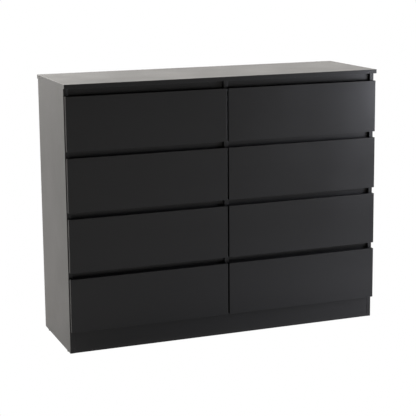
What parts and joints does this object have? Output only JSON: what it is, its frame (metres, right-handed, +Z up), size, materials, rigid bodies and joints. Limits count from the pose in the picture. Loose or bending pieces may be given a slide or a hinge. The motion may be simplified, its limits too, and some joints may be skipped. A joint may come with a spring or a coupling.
{
  "type": "chest of drawers",
  "caption": "Wide low black chest with two columns of handleless overlay-front drawers, pulled open by the finger gaps between their fronts, on a full-width plinth.",
  "frame": {"origin": "on the floor, under the middle of the overall bounding box", "axes": "+Z up, -Y out of the drawer fronts, +X along the width to the right of someone facing the fronts"},
  "size_m": [1.204, 0.383, 0.966],
  "materials": {
    "black_foil_board": "satin black foil on board",
    "drawer_foil_board": "matt dark grey foil on board",
    "drawer_hardboard": "matt dark grey printed hardboard",
    "back_hardboard": "bare brown hardboard",
    "zinc_plated_steel": "bright zinc plating",
    "dowel_wood": "plain beech",
    "runner_plastic": "smooth off-white plastic",
    "glide_plastic": "smooth dark plastic"
  },
  "bodies": {
    "carcass": {"top_panel": "black_foil_board", "left_side_panel": "black_foil_board", "right_side_panel": "black_foil_board", "centre_partition": "black_foil_board", "front_plinth": "black_foil_board", "front_rails": "black_foil_board", "rear_rails": "black_foil_board", "back_sheets": "back_hardboard", "carcass_fasteners": "zinc_plated_steel", "dowels": "dowel_wood", "runner_strips": "runner_plastic", "floor_glides": "glide_plastic"},
    "left_drawer_1": {"left_drawer_1_front": "black_foil_board", "left_drawer_1_left_side": "drawer_foil_board", "left_drawer_1_right_side": "drawer_foil_board", "left_drawer_1_back": "drawer_foil_board", "left_drawer_1_bottom": "drawer_hardboard", "left_drawer_1_fasteners": "zinc_plated_steel"},
    "left_drawer_2": {"left_drawer_2_front": "black_foil_board", "left_drawer_2_left_side": "drawer_foil_board", "left_drawer_2_right_side": "drawer_foil_board", "left_drawer_2_back": "drawer_foil_board", "left_drawer_2_bottom": "drawer_hardboard", "left_drawer_2_fasteners": "zinc_plated_steel"},
    "left_drawer_3": {"left_drawer_3_front": "black_foil_board", "left_drawer_3_left_side": "drawer_foil_board", "left_drawer_3_right_side": "drawer_foil_board", "left_drawer_3_back": "drawer_foil_board", "left_drawer_3_bottom": "drawer_hardboard", "left_drawer_3_fasteners": "zinc_plated_steel"},
    "left_drawer_4": {"left_drawer_4_front": "black_foil_board", "left_drawer_4_left_side": "drawer_foil_board", "left_drawer_4_right_side": "drawer_foil_board", "left_drawer_4_back": "drawer_foil_board", "left_drawer_4_bottom": "drawer_hardboard", "left_drawer_4_fasteners": "zinc_plated_steel"},
    "right_drawer_1": {"right_drawer_1_front": "black_foil_board", "right_drawer_1_left_side": "drawer_foil_board", "right_drawer_1_right_side": "drawer_foil_board", "right_drawer_1_back": "drawer_foil_board", "right_drawer_1_bottom": "drawer_hardboard", "right_drawer_1_fasteners": "zinc_plated_steel"},
    "right_drawer_2": {"right_drawer_2_front": "black_foil_board", "right_drawer_2_left_side": "drawer_foil_board", "right_drawer_2_right_side": "drawer_foil_board", "right_drawer_2_back": "drawer_foil_board", "right_drawer_2_bottom": "drawer_hardboard", "right_drawer_2_fasteners": "zinc_plated_steel"},
    "right_drawer_3": {"right_drawer_3_front": "black_foil_board", "right_drawer_3_left_side": "drawer_foil_board", "right_drawer_3_right_side": "drawer_foil_board", "right_drawer_3_back": "drawer_foil_board", "right_drawer_3_bottom": "drawer_hardboard", "right_drawer_3_fasteners": "zinc_plated_steel"},
    "right_drawer_4": {"right_drawer_4_front": "black_foil_board", "right_drawer_4_left_side": "drawer_foil_board", "right_drawer_4_right_side": "drawer_foil_board", "right_drawer_4_back": "drawer_foil_board", "right_drawer_4_bottom": "drawer_hardboard", "right_drawer_4_fasteners": "zinc_plated_steel"}
  },
  "joints": [
    {"name": "left_drawer_1_slide", "type": "slide", "parent": "carcass", "child": "left_drawer_1", "axis": [0, -1, 0], "range_m": [0, 0.25]},
    {"name": "left_drawer_2_slide", "type": "slide", "parent": "carcass", "child": "left_drawer_2", "axis": [0, -1, 0], "range_m": [0, 0.25]},
    {"name": "left_drawer_3_slide", "type": "slide", "parent": "carcass", "child": "left_drawer_3", "axis": [0, -1, 0], "range_m": [0, 0.25]},
    {"name": "left_drawer_4_slide", "type": "slide", "parent": "carcass", "child": "left_drawer_4", "axis": [0, -1, 0], "range_m": [0, 0.25]},
    {"name": "right_drawer_1_slide", "type": "slide", "parent": "carcass", "child": "right_drawer_1", "axis": [0, -1, 0], "range_m": [0, 0.25]},
    {"name": "right_drawer_2_slide", "type": "slide", "parent": "carcass", "child": "right_drawer_2", "axis": [0, -1, 0], "range_m": [0, 0.25]},
    {"name": "right_drawer_3_slide", "type": "slide", "parent": "carcass", "child": "right_drawer_3", "axis": [0, -1, 0], "range_m": [0, 0.25]},
    {"name": "right_drawer_4_slide", "type": "slide", "parent": "carcass", "child": "right_drawer_4", "axis": [0, -1, 0], "range_m": [0, 0.25]}
  ]
}
